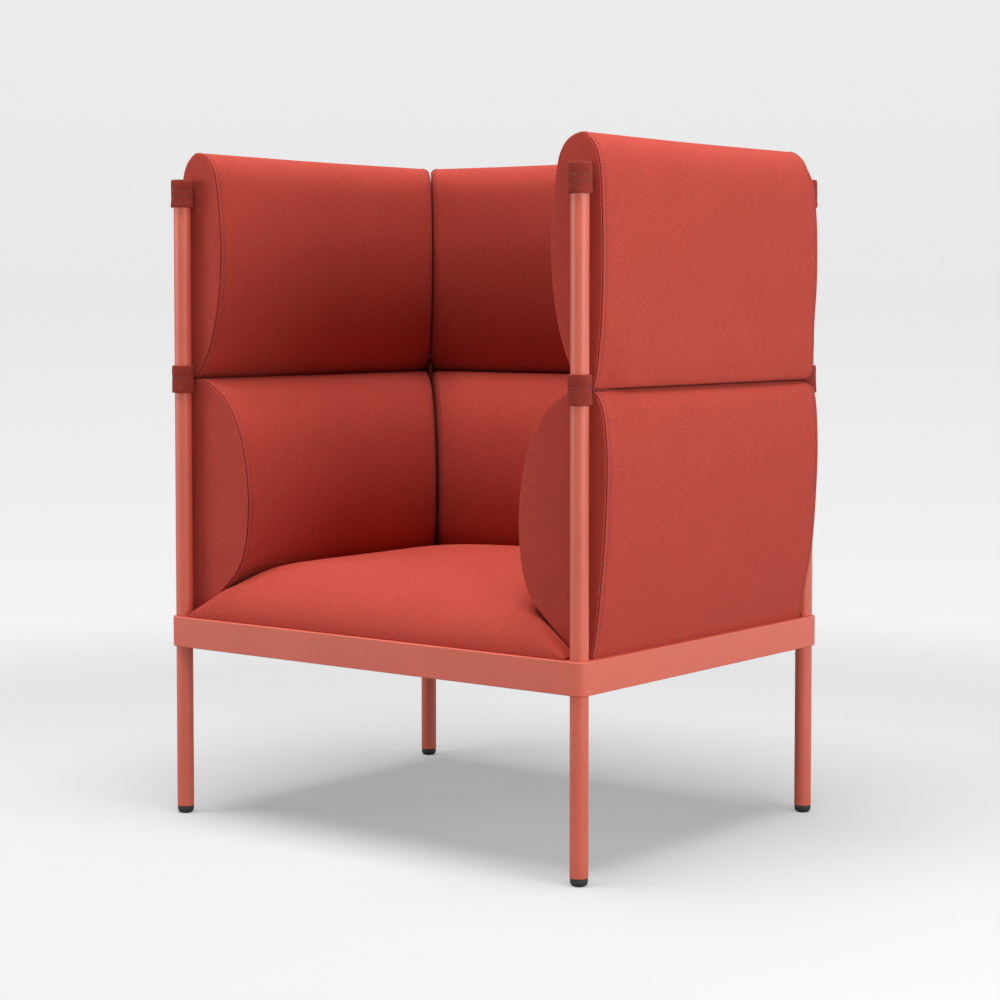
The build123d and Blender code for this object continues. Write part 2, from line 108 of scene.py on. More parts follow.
# %% Helpers for material nodes
def fill(tree, node, **sockets):
    """Sets a node's sockets, or links those that are given another node's output.

    A socket is given by its name, with _ for a space, or by its number as i0, i1 and so on.
    """
    for name, value in sockets.items():
        key = int(name[1:]) if name[0] == "i" and name[1:].isdigit() else name.replace("_", " ")
        if isinstance(value, bpy.types.NodeSocket):
            tree.links.new(value, node.inputs[key])
        else:
            node.inputs[key].default_value = value


def add_node(tree, kind, settings=None, **sockets):
    """A new node of that kind, with its settings and its sockets filled in."""
    made = tree.nodes.new(kind)
    for name, value in (settings or {}).items():
        setattr(made, name, value)
    fill(tree, made, **sockets)
    return made


def new_finish(name):
    """An empty material with its shader, and the tree to add nodes to."""
    material = bpy.data.materials.new(name)
    material.use_nodes = True
    tree = material.node_tree
    shader = tree.nodes["Principled BSDF"]
    return material, tree, shader


def object_place(tree):
    """Places on the object, in metres."""
    return add_node(tree, "ShaderNodeTexCoord").outputs["Object"]


def noise(tree, place, scale, detail):
    """A noise over that place, from 0 to 1."""
    return add_node(tree, "ShaderNodeTexNoise", Vector=place, Scale=scale, Detail=detail).outputs["Fac"]


def spread(tree, fac, dark, light, low=0.0, high=1.0):
    """A colour between dark and light as fac goes from low to high."""
    ramp = add_node(tree, "ShaderNodeValToRGB", Fac=fac)
    ramp.color_ramp.elements[0].position = low
    ramp.color_ramp.elements[0].color = (*dark, 1)
    ramp.color_ramp.elements[1].position = high
    ramp.color_ramp.elements[1].color = (*light, 1)
    return ramp.outputs["Color"]


def multiplied(tree, first, second):
    """Two colours multiplied."""
    settings = {"data_type": "RGBA", "blend_type": "MULTIPLY"}
    return add_node(tree, "ShaderNodeMix", settings, i0=1.0, i6=first, i7=second).outputs[2]


def gloss(tree, fac, low, high):
    """A roughness that goes from low to high with fac."""
    return add_node(tree, "ShaderNodeMapRange", Value=fac, To_Min=low, To_Max=high).outputs["Result"]


def bumps(tree, strength, distance, height):
    """Bumps that follow the height."""
    raised = add_node(tree, "ShaderNodeBump", Strength=strength, Distance=distance, Height=height)
    return raised.outputs["Normal"]


def shade(colour, factor):
    """A lighter or darker version of a colour."""
    return tuple(channel * factor for channel in colour)


# %% [markdown]
# The frame is powder coated. Powder melts into a skin with a very fine orange-peel texture and a
# soft, wide highlight. Three noises do that: a fine one for the bumps, a broad one for faint
# unevenness of the colour and the gloss, and one for specks of dust.

# %% Powder coat
COAT = (0.60, 0.101, 0.056)


def powder_coat():
    material, tree, shader = new_finish("powder_coat")
    place = object_place(tree)
    fine = noise(tree, place, 900.0, 3.0)
    broad = noise(tree, place, 7.0, 4.0)
    speck = noise(tree, place, 420.0, 2.0)
    tone = spread(tree, broad, shade(COAT, 0.95), shade(COAT, 1.04), 0.3, 0.7)
    dust = spread(tree, speck, (0.94, 0.94, 0.94), (1.0, 1.0, 1.0), 0.35, 0.6)
    fill(
        tree, shader, Base_Color=multiplied(tree, tone, dust), Roughness=gloss(tree, broad, 0.42, 0.52),
        Specular_IOR_Level=0.7, Normal=bumps(tree, 0.16, 0.0004, fine),
    )
    return material


# %% [markdown]
# The small hard parts: moulded black plastic feet with a fine spark-eroded grain, zinc plated studs
# and bolts, birch plywood boards and pale foam. Most of them are hidden, but they show from below or
# when the chair is taken apart.

# %% Feet, fasteners, boards and foam
def moulded_plastic():
    material, tree, shader = new_finish("black_plastic")
    place = object_place(tree)
    grain = noise(tree, place, 1500.0, 2.0)
    scuff = noise(tree, place, 90.0, 5.0)
    tone = spread(tree, scuff, (0.012, 0.012, 0.013), (0.030, 0.029, 0.028), 0.35, 0.75)
    rough = gloss(tree, scuff, 0.38, 0.6)
    fill(tree, shader, Base_Color=tone, Roughness=rough, Normal=bumps(tree, 0.2, 0.0003, grain))
    return material


def zinc_plate():
    material, tree, shader = new_finish("zinc_steel")
    place = object_place(tree)
    cloud = noise(tree, place, 60.0, 4.0)
    tone = spread(tree, cloud, (0.50, 0.51, 0.53), (0.68, 0.68, 0.69), 0.3, 0.7)
    fill(tree, shader, Base_Color=tone, Metallic=1.0, Roughness=gloss(tree, cloud, 0.28, 0.46))
    return material


def birch_plywood():
    material, tree, shader = new_finish("plywood")
    place = object_place(tree)
    along_grain = add_node(tree, "ShaderNodeMapping", Vector=place, Scale=(60.0, 6.0, 60.0))
    grain = noise(tree, along_grain.outputs["Vector"], 3.0, 6.0)
    tone = spread(tree, grain, (0.56, 0.39, 0.22), (0.78, 0.62, 0.42), 0.3, 0.7)
    fill(tree, shader, Base_Color=tone, Roughness=0.62, Normal=bumps(tree, 0.15, 0.0005, grain))
    return material


def soft_foam():
    material, tree, shader = new_finish("foam")
    place = object_place(tree)
    cells = add_node(tree, "ShaderNodeTexVoronoi", Vector=place, Scale=700.0).outputs["Distance"]
    tone = spread(tree, cells, (0.62, 0.58, 0.45), (0.86, 0.83, 0.71), 0.0, 0.6)
    fill(tree, shader, Base_Color=tone, Roughness=0.95, Normal=bumps(tree, 0.4, 0.0006, cells))
    return material


# %% [markdown]
# The covers are a dense wool-like weave in a brick red. Its ribs run level round the chair. The
# cloth is matt, with a soft sheen where it turns away from the eye, and the yarn is a little uneven.
# The pattern follows the cloth, so it reads the pieces' own UV map, which is in metres.

# %% Upholstery cloth
CLOTH = (0.420, 0.053, 0.037)
RIB_PITCH = 1.5 * MM


def yarns(tree, cloth, direction, pitch):
    """Round yarns side by side across that direction of the cloth."""
    settings = {"wave_type": "BANDS", "bands_direction": direction}
    wave = math.pi / (10 * pitch)
    bands = add_node(tree, "ShaderNodeTexWave", settings, Vector=cloth, Scale=wave, Distortion=0.6)
    return bands.outputs["Fac"]


def upholstery(name, colour, rib_pitch, rib_depth):
    material, tree, shader = new_finish(name)
    cloth = add_node(tree, "ShaderNodeUVMap", {"uv_map": "cloth"}).outputs["UV"]
    ribs = yarns(tree, cloth, "X", rib_pitch)
    weft = yarns(tree, cloth, "Y", rib_pitch)
    weave = add_node(tree, "ShaderNodeMath", {"operation": "MULTIPLY_ADD"}, i0=weft, i1=0.6, i2=ribs)
    long_yarn = add_node(tree, "ShaderNodeMapping", Vector=cloth, Scale=(600.0, 70.0, 1.0))
    uneven = noise(tree, long_yarn.outputs["Vector"], 1.0, 4.0)
    wash = noise(tree, cloth, 9.0, 3.0)
    tone = spread(tree, uneven, shade(colour, 0.80), shade(colour, 1.17), 0.25, 0.75)
    cloud = spread(tree, wash, (0.95, 0.95, 0.95), (1.0, 1.0, 1.0), 0.3, 0.7)
    fill(
        tree, shader, Base_Color=multiplied(tree, tone, cloud), Roughness=0.82, Specular_IOR_Level=0.12,
        Sheen_Weight=0.05, Sheen_Roughness=0.45, Sheen_Tint=(1.0, 0.62, 0.52, 1),
        Normal=bumps(tree, rib_depth, 0.0004, weave.outputs["Value"]),
    )
    return material


finishes = {
    "powder_coat": powder_coat(),
    "black_plastic": moulded_plastic(),
    "zinc_steel": zinc_plate(),
    "plywood": birch_plywood(),
    "foam": soft_foam(),
    "cover_fabric": upholstery("cover_fabric", CLOTH, RIB_PITCH, 0.25),
    "sleeve_fabric": upholstery("sleeve_fabric", shade(CLOTH, 0.60), 1.2 * RIB_PITCH, 0.45),
}
for part in frame["record"]["subparts"]:
    slots = frame["nodes"][part["node"]].data.materials
    slots.clear()
    slots.append(finishes[part["material_slot"]])

# %% [markdown]
# A panel is a long cushion. Its main cloth wraps round a section that is thin at the foot, bulges
# outwards a little and bellies in towards the sitter, and flat caps close its ends. The section is
# a smooth closed curve through a few points, read off the caps of the front ends.

# %% Panel sections
# Points of each section as (across, up) in mm, from the foot up the outside, over the top and back.
LOW_SECTION = (
    (-8, 0), (5, 0), (11, 5), (22, 70), (33, 175), (38.5, 275), (38, 335), (31, 390), (17, 418),
    (-6, 425.5), (-38, 421), (-86, 390), (-122, 326), (-140, 235), (-137, 150), (-117, 90), (-62, 34),
    (-27, 3),
)
HIGH_SECTION = (
    (3, 0), (9, 1), (14, 10), (20, 40), (27, 105), (30, 200), (28.5, 285), (24.5, 350), (14, 383),
    (-3, 400), (-16, 404), (-38, 397), (-55, 380), (-65, 350), (-74, 280), (-76.5, 225), (-72.5, 158),
    (-61, 97), (-43, 46), (-21, 11), (-6, 1),
)
# Away from its ends a panel is fuller at the joint, where it rests on the next one.
LOW_MIDDLE = LOW_SECTION[:6] + ((38.5, 330), (36, 380), (31, 407), (22, 418.5), (8, 423)) + LOW_SECTION[9:]
HIGH_MIDDLE = ((3, 0), (10, 0.3), (18, 1.5), (23, 4), (26, 12), (27, 50)) + HIGH_SECTION[4:]
TURN_WEIGHT = 24.0  # extra length, in mm, that one radian of turn counts for
HALF_RING = 60  # points from foot to top on either side
CURVE_STEPS = 16


def smooth_line(section):
    """Close points along the closed curve through a section's points."""
    knots = np.array(section, dtype=float)
    before, after, second = (np.roll(knots, shift, axis=0) for shift in (1, -1, -2))
    line = []
    for p0, p1, p2, p3 in zip(before, knots, after, second):
        for step in range(CURVE_STEPS):
            t = step / CURVE_STEPS
            bend = 2 * p0 - 5 * p1 + 4 * p2 - p3
            twist = 3 * (p1 - p2) + p3 - p0
            line.append(p1 + 0.5 * t * (p2 - p0 + t * (bend + t * twist)))
    return np.array(line)


def section_ring(section):
    """Evenly drawn ring round a section, from the middle of its foot up the outside and back down."""
    line = smooth_line(section)
    line = np.vstack([line, line[:1]])
    step = np.diff(line, axis=0)
    length = np.hypot(step[:, 0], step[:, 1])
    heading = np.unwrap(np.arctan2(step[:, 1], step[:, 0]))
    turn = np.abs(np.diff(heading, append=heading[-1]))
    measure = np.concatenate([[0], np.cumsum(length + TURN_WEIGHT * turn)])
    top = measure[np.argmax(line[:, 1])]
    up = np.linspace(0, top, HALF_RING + 1)
    down = np.linspace(top, measure[-1], HALF_RING + 1)[1:-1]
    wanted = np.concatenate([up, down])
    return np.column_stack([np.interp(wanted, measure, line[:, axis]) for axis in (0, 1)])


def drawn_in(ring, inset):
    """The ring moved inwards by that much, one inset for all points or one for each."""
    along = np.roll(ring, -1, axis=0) - np.roll(ring, 1, axis=0)
    along /= np.linalg.norm(along, axis=1)[:, None]
    inward = np.column_stack([-along[:, 1], along[:, 0]])
    return ring + inward * np.broadcast_to(inset, len(ring))[:, None]


rings = {
    "lower": (section_ring(LOW_SECTION), section_ring(LOW_MIDDLE)),
    "upper": (section_ring(HIGH_SECTION), section_ring(HIGH_MIDDLE)),
}
for level, pair in rings.items():
    for ring in pair:
        print(level, "section from", ring.min(axis=0).round(1), "to", ring.max(axis=0).round(1), "mm")

# %% [markdown]
# The cover could be sewn flat and inflated, but its shape is known, so the mesh is laid out as the
# cloth is cut: rings across the panel, close together at each end for the seam and the row of
# topstitching beside it, and a grid of rows for each cap. The rear ends are mitred where two panels
# meet.

# %% Ends of a panel
SETBACK = 22.0  # panel end to post axis, in mm
# A mitred end's distance from the line where two panels would meet, its rounding off, and how much
# further it reaches outside the post.
LOW_MITRE = (2.4, 8.0, 10.0)
HIGH_MITRE = (0.5, 4.0, 18.0)
MITRE_BEND = 8.0  # how softly an end turns from square into the mitre
PAST_POST = 18.0  # an end reaches further from this far outside the post axis
PAST_POST_WIDTH = 9.0  # and has its full reach after this width
SOFT_REACH = 10.0  # length of the panel that the rounding off takes
BELLY_FROM = 5.0  # the rounding off starts this far inside the post axis
BELLY_WIDTH = 30.0  # and is full after this width
# Depth from the panel's end and inset of each ring near a seam, in mm: the cap's rolled edge, the
# groove of the seam at the corner, the main cloth's rolled edge and the row of stitching.
SEAM_RINGS = (
    (0.0, 4.0), (0.0, 2.7), (0.3, 2.0), (1.5, 2.0), (3.2, 3.2), (2.1, 1.5), (2.2, 0.5), (3.4, 0.1),
    (6.0, 0.0), (9.4, 0.05), (10.4, 0.4), (11.4, 0.05), (15.0, 0.0), (24.0, 0.0), (40.0, 0.0),
)
# the faces in these steps get a near-black cloth: painted shade in the seam's groove
SEAM_STEPS = (3, 4)  # steps between those rings that lie in the groove
STITCH_RING = 10


def end_line(across, mitre):
    """Distance from the post axis at which an end stops: square, or softly bent into a mitre."""
    if mitre is None:
        return np.full_like(across, SETBACK)
    inward = -across
    reach = mitre[2] * np.clip((across - PAST_POST) / PAST_POST_WIDTH, 0, 1)
    bend = np.sqrt((SETBACK - inward) ** 2 + MITRE_BEND ** 2)
    return mitre[0] - reach + (SETBACK + inward + bend) / 2


def seam_loops(ring, mitre):
    """Rings from a panel's end inwards, as (across, distance from the post axis, up)."""
    belly = np.clip((-ring[:, 0] - BELLY_FROM) / BELLY_WIDTH, 0, 1)
    softness = mitre[1] if mitre else 0
    loops = []
    for depth, inset in SEAM_RINGS:
        rounding = softness * max(0, 1 - depth / SOFT_REACH) ** 2
        edge = drawn_in(ring, inset + rounding * belly)
        loops.append(np.column_stack([edge[:, 0], end_line(edge[:, 0], mitre) + depth, edge[:, 1]]))
    return loops


print("rings at each end of a panel:", len(SEAM_RINGS))

# %% Rings along a panel
SLACK = 1.5  # the cover starts this much smaller, because it swells
RUN = 22.0  # spacing of the rings along the panel
MITRE_FULL = 0.85  # how much of the full section a mitred end has
FULL_FROM = -15.0  # distances from the seam's last ring between which a panel gets its full section
FULL_TO = 45.0


def smooth_step(share):
    """A soft way from 0 to 1."""
    share = np.clip(share, 0, 1)
    return share * share * (3 - 2 * share)


def panel_rings(ring, middle_ring, near, far, near_mitre, far_mitre):
    """Rings of a panel from its near to its far end, as (across, along, up) in mm."""
    slim = drawn_in(ring, SLACK)
    slim[:, 1] = ring[:, 1]
    growth = middle_ring - ring
    near_full, far_full = (MITRE_FULL if mitre else 0.0 for mitre in (near_mitre, far_mitre))
    loops = [loop + (0, near, 0) for loop in seam_loops(slim + growth * near_full, near_mitre)]
    far_loops = seam_loops(slim + growth * far_full, far_mitre)
    last = [loop * (1, -1, 1) + (0, far, 0) for loop in reversed(far_loops)]
    first = loops[-1]
    runs = round((far - near) / RUN)
    for k in range(1, runs):
        full = [end + (1 - end) * smooth_step((away * RUN - FULL_FROM) / (FULL_TO - FULL_FROM))
                for end, away in ((near_full, k), (far_full, runs - k))]
        between = near_full * (1 - k / runs) + far_full * k / runs
        fuller = np.insert(growth * (min(full) - between), 1, 0, axis=1)
        loops.append(first * (1 - k / runs) + last[0] * k / runs + fuller)
    return loops + last


# %% Faces of a panel
CAP_COLUMNS = 10


def main_faces(loops, girth):
    """Faces between the rings, their cloth coordinates, and a 1 for each face in a seam's groove, which gets
    painted shade.
    """
    count = len(loops[0])
    faces, cloth, kinds = [], [], []
    for j in range(len(loops) - 1):
        in_groove = j in SEAM_STEPS or len(loops) - 2 - j in SEAM_STEPS
        for i in range(count):
            after = (i + 1) % count
            faces.append((j * count + i, j * count + after, (j + 1) * count + after, (j + 1) * count + i))
            v0, v1 = loops[j][i][1], loops[j + 1][i][1]
            cloth.append(((girth[i], v0), (girth[i + 1], v0), (girth[i + 1], v1), (girth[i], v1)))
            kinds.append(int(in_groove))
    return faces, cloth, kinds


def cap_rows(points, start, count, base, sign, mitre):
    """Rows of point numbers across a cap, from its foot up. Adds the points inside it to the points."""
    half = count // 2
    rows = [[start] * (CAP_COLUMNS + 1)]
    for i in range(1, half):
        a, b = start + i, start + count - i
        row = [a]
        for c in range(1, CAP_COLUMNS):
            share = (1 - math.cos(math.pi * c / CAP_COLUMNS)) / 2
            place = points[a] * (1 - share) + points[b] * share
            place[1] = base + sign * end_line(place[:1], mitre)[0]
            row.append(len(points))
            points.append(place)
        rows.append(row + [b])
    rows.append([start + half] * (CAP_COLUMNS + 1))
    return rows


def panel_layout(ring, middle_ring, near, far, near_mitre, far_mitre):
    """Points of a panel as (across, along, up) in mm, its faces, their cloth coordinates and kinds."""
    count = len(ring)
    loops = panel_rings(ring, middle_ring, near, far, near_mitre, far_mitre)
    points = list(np.vstack(loops))
    girth = np.concatenate([[0], np.cumsum(np.linalg.norm(np.roll(ring, -1, axis=0) - ring, axis=1))])
    faces, cloth, kinds = main_faces(loops, girth)
    last_ring = len(points) - count
    for start, base, sign, mitre in ((0, near, 1, near_mitre), (last_ring, far, -1, far_mitre)):
        rows = cap_rows(points, start, count, base, sign, mitre)
        for row, above in zip(rows, rows[1:]):
            for c in range(CAP_COLUMNS):
                corners = tuple(dict.fromkeys((row[c], row[c + 1], above[c + 1], above[c])))
                faces.append(corners)
                cloth.append(tuple((points[k][2], points[k][0]) for k in corners))
                kinds.append(0)
    return np.array(points), faces, cloth, kinds


# %% Stand a panel up
SAME_PLACE = 1e-6  # points closer than this, in metres, become one


def stand(points, side, foot):
    """Panel points, in mm, stood up in the chair, in metres."""
    across, along, up = (points * MM).T
    if side == "back":
        return np.column_stack([along, rear_y + across, foot + up])
    sign = 1 if side == "right" else -1
    return np.column_stack([sign * (post_x + across), along, foot + up])


def closed_mesh(name, points, faces, cloth, kinds):
    """A new object with that mesh, its faces turned outwards and its cloth coordinates in metres."""
    mesh = bpy.data.meshes.new(name)
    mesh.from_pydata([tuple(p) for p in points], [], faces)
    layer = mesh.uv_layers.new(name="cloth")
    flat = [coordinate for face in cloth for corner in face for coordinate in corner]
    layer.data.foreach_set("uv", np.array(flat) * MM)
    mesh.polygons.foreach_set("material_index", kinds)
    piece = bpy.data.objects.new(name, mesh)
    bpy.context.scene.collection.objects.link(piece)
    shaped = bmesh.new()
    shaped.from_mesh(mesh)
    bmesh.ops.remove_doubles(shaped, verts=shaped.verts, dist=SAME_PLACE)
    bmesh.ops.recalc_face_normals(shaped, faces=shaped.faces)
    shaped.to_mesh(mesh)
    shaped.free()
    mesh.polygons.foreach_set("use_smooth", [True] * len(mesh.polygons))
    return piece


# %% [markdown]
# Foam pushes the cloth out between its seams. Blender's cloth solver does that with a little
# pressure: the seams and what rests on a neighbour are pinned, the rest swells for twenty frames,
# and how far a point may move is capped. One subdivision then makes the surface smooth.

# %% Swell a cover
SWELL_FRAMES = 20
EVEN_ROUNDS = 24  # rounds that even out the swelling, because the cloth is taut


def swell(piece, pinned, cap):
    """Inflates a cover a little between its pinned points and keeps the result in its mesh."""
    rest = np.array([v.co for v in piece.data.vertices])
    group = piece.vertex_groups.new(name="pinned")
    group.add([int(i) for i in np.flatnonzero(pinned)], 1.0, "REPLACE")
    cloth = piece.modifiers.new("swell", "CLOTH")
    cloth.settings.quality = 4
    cloth.settings.tension_stiffness = 25
    cloth.settings.compression_stiffness = 25
    cloth.settings.shear_stiffness = 15
    cloth.settings.bending_stiffness = 2
    cloth.settings.vertex_group_mass = group.name
    cloth.settings.use_pressure = True
    cloth.settings.uniform_pressure_force = 4
    cloth.settings.effector_weights.gravity = 0
    cloth.collision_settings.use_collision = False
    cloth.point_cache.frame_start = 1
    cloth.point_cache.frame_end = SWELL_FRAMES
    for step in range(1, SWELL_FRAMES + 1):
        bpy.context.scene.frame_set(step)
    settled = piece.evaluated_get(bpy.context.evaluated_depsgraph_get()).to_mesh()
    moved = np.array([v.co for v in settled.vertices]) - rest
    ends = np.array([e.vertices for e in piece.data.edges])
    links = np.bincount(ends.ravel(), minlength=len(rest))[:, None]
    for round_number in range(EVEN_ROUNDS):
        pull = np.zeros_like(moved)
        np.add.at(pull, ends[:, 0], moved[ends[:, 1]])
        np.add.at(pull, ends[:, 1], moved[ends[:, 0]])
        moved = np.where(pinned[:, None], 0, (moved + pull / links) / 2)
    length = np.linalg.norm(moved, axis=1)
    keep = cap * np.tanh(length / cap) / np.maximum(length, 1e-9)
    piece.modifiers.remove(cloth)
    bpy.context.scene.frame_set(1)
    piece.data.vertices.foreach_set("co", (rest + moved * keep[:, None]).ravel())
    print(piece.name, "swelled by up to", round(float(length.max()) / MM, 2), "mm")
    bpy.ops.object.select_all(action="DESELECT")
    bpy.context.view_layer.objects.active = piece
    piece.select_set(True)
    smooth = piece.modifiers.new("smooth", "SUBSURF")
    smooth.levels = 1
    smooth.render_levels = 1
    bpy.ops.object.modifier_apply(modifier=smooth.name)
    piece.vertex_groups.clear()


# %% [markdown]
# A topstitch is a short thread that dips into the cloth at both ends, where the needle left a hole
# in shade. One thread and, for each hole, a near-black blob of painted shade are modelled from a low
# sphere, and their meshes are copied along the row of stitching beside each seam, turned to the cloth.

# %% Model one stitch
STITCH_PITCH = 5.0 * MM
STITCH_LENGTH = 2.7 * MM
STITCH_WIDTH = 1.6 * MM
STITCH_LIFT = 0.1 * MM
# each needle hole is a near-black blob of this size sitting on the cloth: painted shade of the hole
HOLE_SHADE_SIZE = (2.4 * MM, 3.0 * MM, 1.6 * MM)

bpy.ops.mesh.primitive_uv_sphere_add(segments=6, ring_count=4, radius=0.5)
bpy.ops.object.mode_set(mode="EDIT")
bpy.ops.mesh.select_all(action="SELECT")
bpy.ops.transform.rotate(value=math.pi / 2, orient_axis="Y", center_override=(0, 0, 0))
bpy.ops.object.mode_set(mode="OBJECT")
pattern = bpy.context.object
low_sphere = np.array([v.co for v in pattern.data.vertices])
thread_points = low_sphere * (STITCH_LENGTH, STITCH_WIDTH, STITCH_WIDTH) + (0, 0, STITCH_LIFT)
hole_shade_points = low_sphere * HOLE_SHADE_SIZE + (STITCH_PITCH / 2, 0, 0)
stitch_faces = [tuple(p.vertices) for p in pattern.data.polygons]
bpy.data.objects.remove(pattern)
print("one stitch has", len(stitch_faces), "faces")


# %% Sew a row of stitches
def sew(name, surface, rows):
    """Stitches laid on a surface along closed rows of points, as one piece of thread and near-black blobs of
    painted shade at the needle holes.
    """
    tree = BVHTree.FromObject(surface, bpy.context.evaluated_depsgraph_get())
    points, faces, kinds = [], [], []
    for row in rows:
        closed = np.vstack([row, row[:1]])
        travel = np.concatenate([[0], np.cumsum(np.linalg.norm(np.diff(closed, axis=0), axis=1))])
        count = int(travel[-1] / STITCH_PITCH)
        for k in range(count):
            spots = []
            for ahead in (-0.5, 0.5):
                here = (k * travel[-1] / count + ahead * STITCH_LENGTH) % travel[-1]
                spots.append(Vector([np.interp(here, travel, closed[:, axis]) for axis in range(3)]))
            place, normal = tree.find_nearest((spots[0] + spots[1]) / 2)[:2]
            along = (spots[1] - spots[0]).normalized()
            across = normal.cross(along).normalized()
            turned = np.array([along, across, normal])
            for kind, shape in enumerate((thread_points, hole_shade_points)):
                start = len(points)
                points.extend(shape @ turned + np.array(place))
                faces.extend(tuple(start + i for i in face_points) for face_points in stitch_faces)
                kinds.extend([kind] * len(stitch_faces))
    mesh = bpy.data.meshes.new(name)
    mesh.from_pydata([tuple(p) for p in points], [], faces)
    mesh.polygons.foreach_set("use_smooth", [True] * len(faces))
    mesh.materials.append(thread)
    mesh.materials.append(needle_hole_painted_shade)
    mesh.polygons.foreach_set("material_index", kinds)
    piece = bpy.data.objects.new(name, mesh)
    bpy.context.scene.collection.objects.link(piece)
    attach(piece, "frame")
    return piece


def sewing_thread(name, dark, light):
    material, tree, shader = new_finish(name)
    place = object_place(tree)
    twist = noise(tree, place, 1200.0, 2.0)
    tone = spread(tree, twist, shade(CLOTH, dark), shade(CLOTH, light), 0.3, 0.7)
    fill(tree, shader, Base_Color=tone, Roughness=0.6)
    return material


thread = sewing_thread("sewing_thread", 1.1, 1.5)
# near-black blobs for the needle holes: painted shade
needle_hole_painted_shade = sewing_thread("needle_hole_painted_shade", 0.03, 0.08)

# %% [markdown]
# Now the six panels. The left and right ones stop square behind the front posts and are mitred at
# the back. The back ones are mitred at both ends. Each is pinned at its foot, at its seams, at the
# mitres and where the next panel rests on it.

# %% Where the panels go
MEET = 1.4  # mm that a low and a high panel bulge towards each other

front_edge = front_y / MM
rear_edge = rear_y / MM
half_width = post_x / MM
spans = {
    "left": (front_edge, rear_edge, False, True),
    "right": (front_edge, rear_edge, False, True),
    "back": (-half_width, half_width, True, True),
}


def stretch(ring, down, up):
    """The ring with its foot lowered and its top raised by that much."""
    low, high = ring[:, 1].min(), ring[:, 1].max()
    return np.column_stack([ring[:, 0], np.interp(ring[:, 1], (low, high), (low - down, high + up))])


levels = {
    "lower": ([stretch(ring, 0, MEET) for ring in rings["lower"]], low_foot, LOW_MITRE),
    "upper": ([stretch(ring, MEET, 0) for ring in rings["upper"]], high_foot, HIGH_MITRE),
}
print("panels from post to post, in mm:", {side: round(span[1] - span[0]) for side, span in spans.items()})

# %% Sew the panels
SWELL_CAP = 2.5 * MM
REST_BAND = 3.0  # mm from the foot or the top that a neighbour holds flat
SEAM_EDGE = 0.2  # depth in mm from which the seam holds an end
SEWN_BAND = 12.0  # and to which the seam and its stitching hold it
MITRE_BAND = 1.5  # depth in mm to which the next panel holds a mitred end
FLANK_BAND = 95.0  # mm above a low panel's foot that the seat holds
# cloth at 0.15 of the cover's colour for the faces in a seam's groove: painted shade
seam_painted_shade = upholstery("seam_painted_shade", shade(CLOTH, 0.15), RIB_PITCH, 0.25)


def held_points(layout, ring, level, near, far, near_mitre, far_mitre):
    """Which points of a panel its seams, the seat and the next panels hold."""
    across, along, up = layout.T
    held = up < ring[:, 1].min() + REST_BAND
    for from_post, mitre in ((along - near, near_mitre), (far - along, far_mitre)):
        depth = from_post - end_line(across, mitre)
        held |= (depth > SEAM_EDGE) & (depth < SEWN_BAND)
        if mitre:
            held |= depth < MITRE_BAND
    if level == "lower":
        held |= (up < FLANK_BAND) & (across < 0) | (up > ring[:, 1].max() - REST_BAND)
    return held


for side, (near, far, near_mitred, far_mitred) in spans.items():
    for level, ((ring, middle_ring), foot, mitre) in levels.items():
        name = side + "_" + level
        ends = (near, far, mitre if near_mitred else None, mitre if far_mitred else None)
        layout, faces, cloth, kinds = panel_layout(ring, middle_ring, *ends)
        points = stand(layout, side, foot)
        piece = closed_mesh(name + "_cushion", points, faces, cloth, kinds)
        swell(piece, held_points(layout, ring, level, *ends), SWELL_CAP)
        piece.data.materials.append(finishes["cover_fabric"])
        piece.data.materials.append(seam_painted_shade)
        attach(piece, "frame")
        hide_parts(name + "_cover", name + "_foam")
        count = len(ring)
        ring_count = 2 * len(SEAM_RINGS) + round((far - near) / RUN) - 1
        sewn_rings = (STITCH_RING, ring_count - 1 - STITCH_RING)
        rows = [points[j * count:(j + 1) * count] for j in sewn_rings]
        stitches = sew(name + "_stitches", piece, rows)
        heights = [v.co.z for v in piece.data.vertices]
        print(name, len(piece.data.polygons), "faces and", len(stitches.data.polygons), "on its stitches")
        print("  from", round(min(heights), 4), "to", round(max(heights), 4), "m above the floor")

# %% [markdown]
# The seat is one broad cushion: a rounded nose in front, a crown across, and sides that tuck under
# the panels. Seen from above it is a sheet of heights over a rectangle, so each point's height is the
# least of those that the crowned nose, the flanks and the back allow, softly blended.

# %% Shape the seat
SEAT_NOSE_OUT = 13.0
SEAT_NOSE_DEEP = 140.0
SEAT_HEIGHT = 104.0
SEAT_CROWN = 20.0
CROWN_HALF = 420.0
FLANK_RISE = 0.89  # slope of the low panels' flank
FLANK_STEEPER = 0.13  # and how much steeper it gets from the bend upwards
FLANK_BEND = 37.0
FLANK_FOOT = 24.0  # flank's foot to the post axis
SOFT_EDGE = 34.0  # how widely two of the heights blend
SOFT_SHARE = 1.3  # at most, as a multiple of the lesser one
SEAT_CLEARANCE = 1.2
CORNER_REACH = 8.5  # how much wider the seat gets in front of the panels
CORNER_LENGTH = 5.0  # over this length
CORNER_BACK = 3.0  # that ends this far behind the panels' front ends
# Rows and columns of the sheet, with closer ones in a band along the back and the sides.
NOSE_ROWS = 24
MIDDLE_ROWS = 22
BACK_ROWS = 12
BACK_BAND = 100.0
EDGE_COLUMNS = 13
MIDDLE_COLUMNS = 24
EDGE_BAND = 110.0


def soft_least(a, b):
    """The lesser of two heights, blended where they are close."""
    width = np.minimum(SOFT_EDGE, SOFT_SHARE * np.minimum(a, b)) + 1e-6
    close = np.clip(1 - np.abs(a - b) / width, 0, 1)
    return np.minimum(a, b) - close * close * width / 4


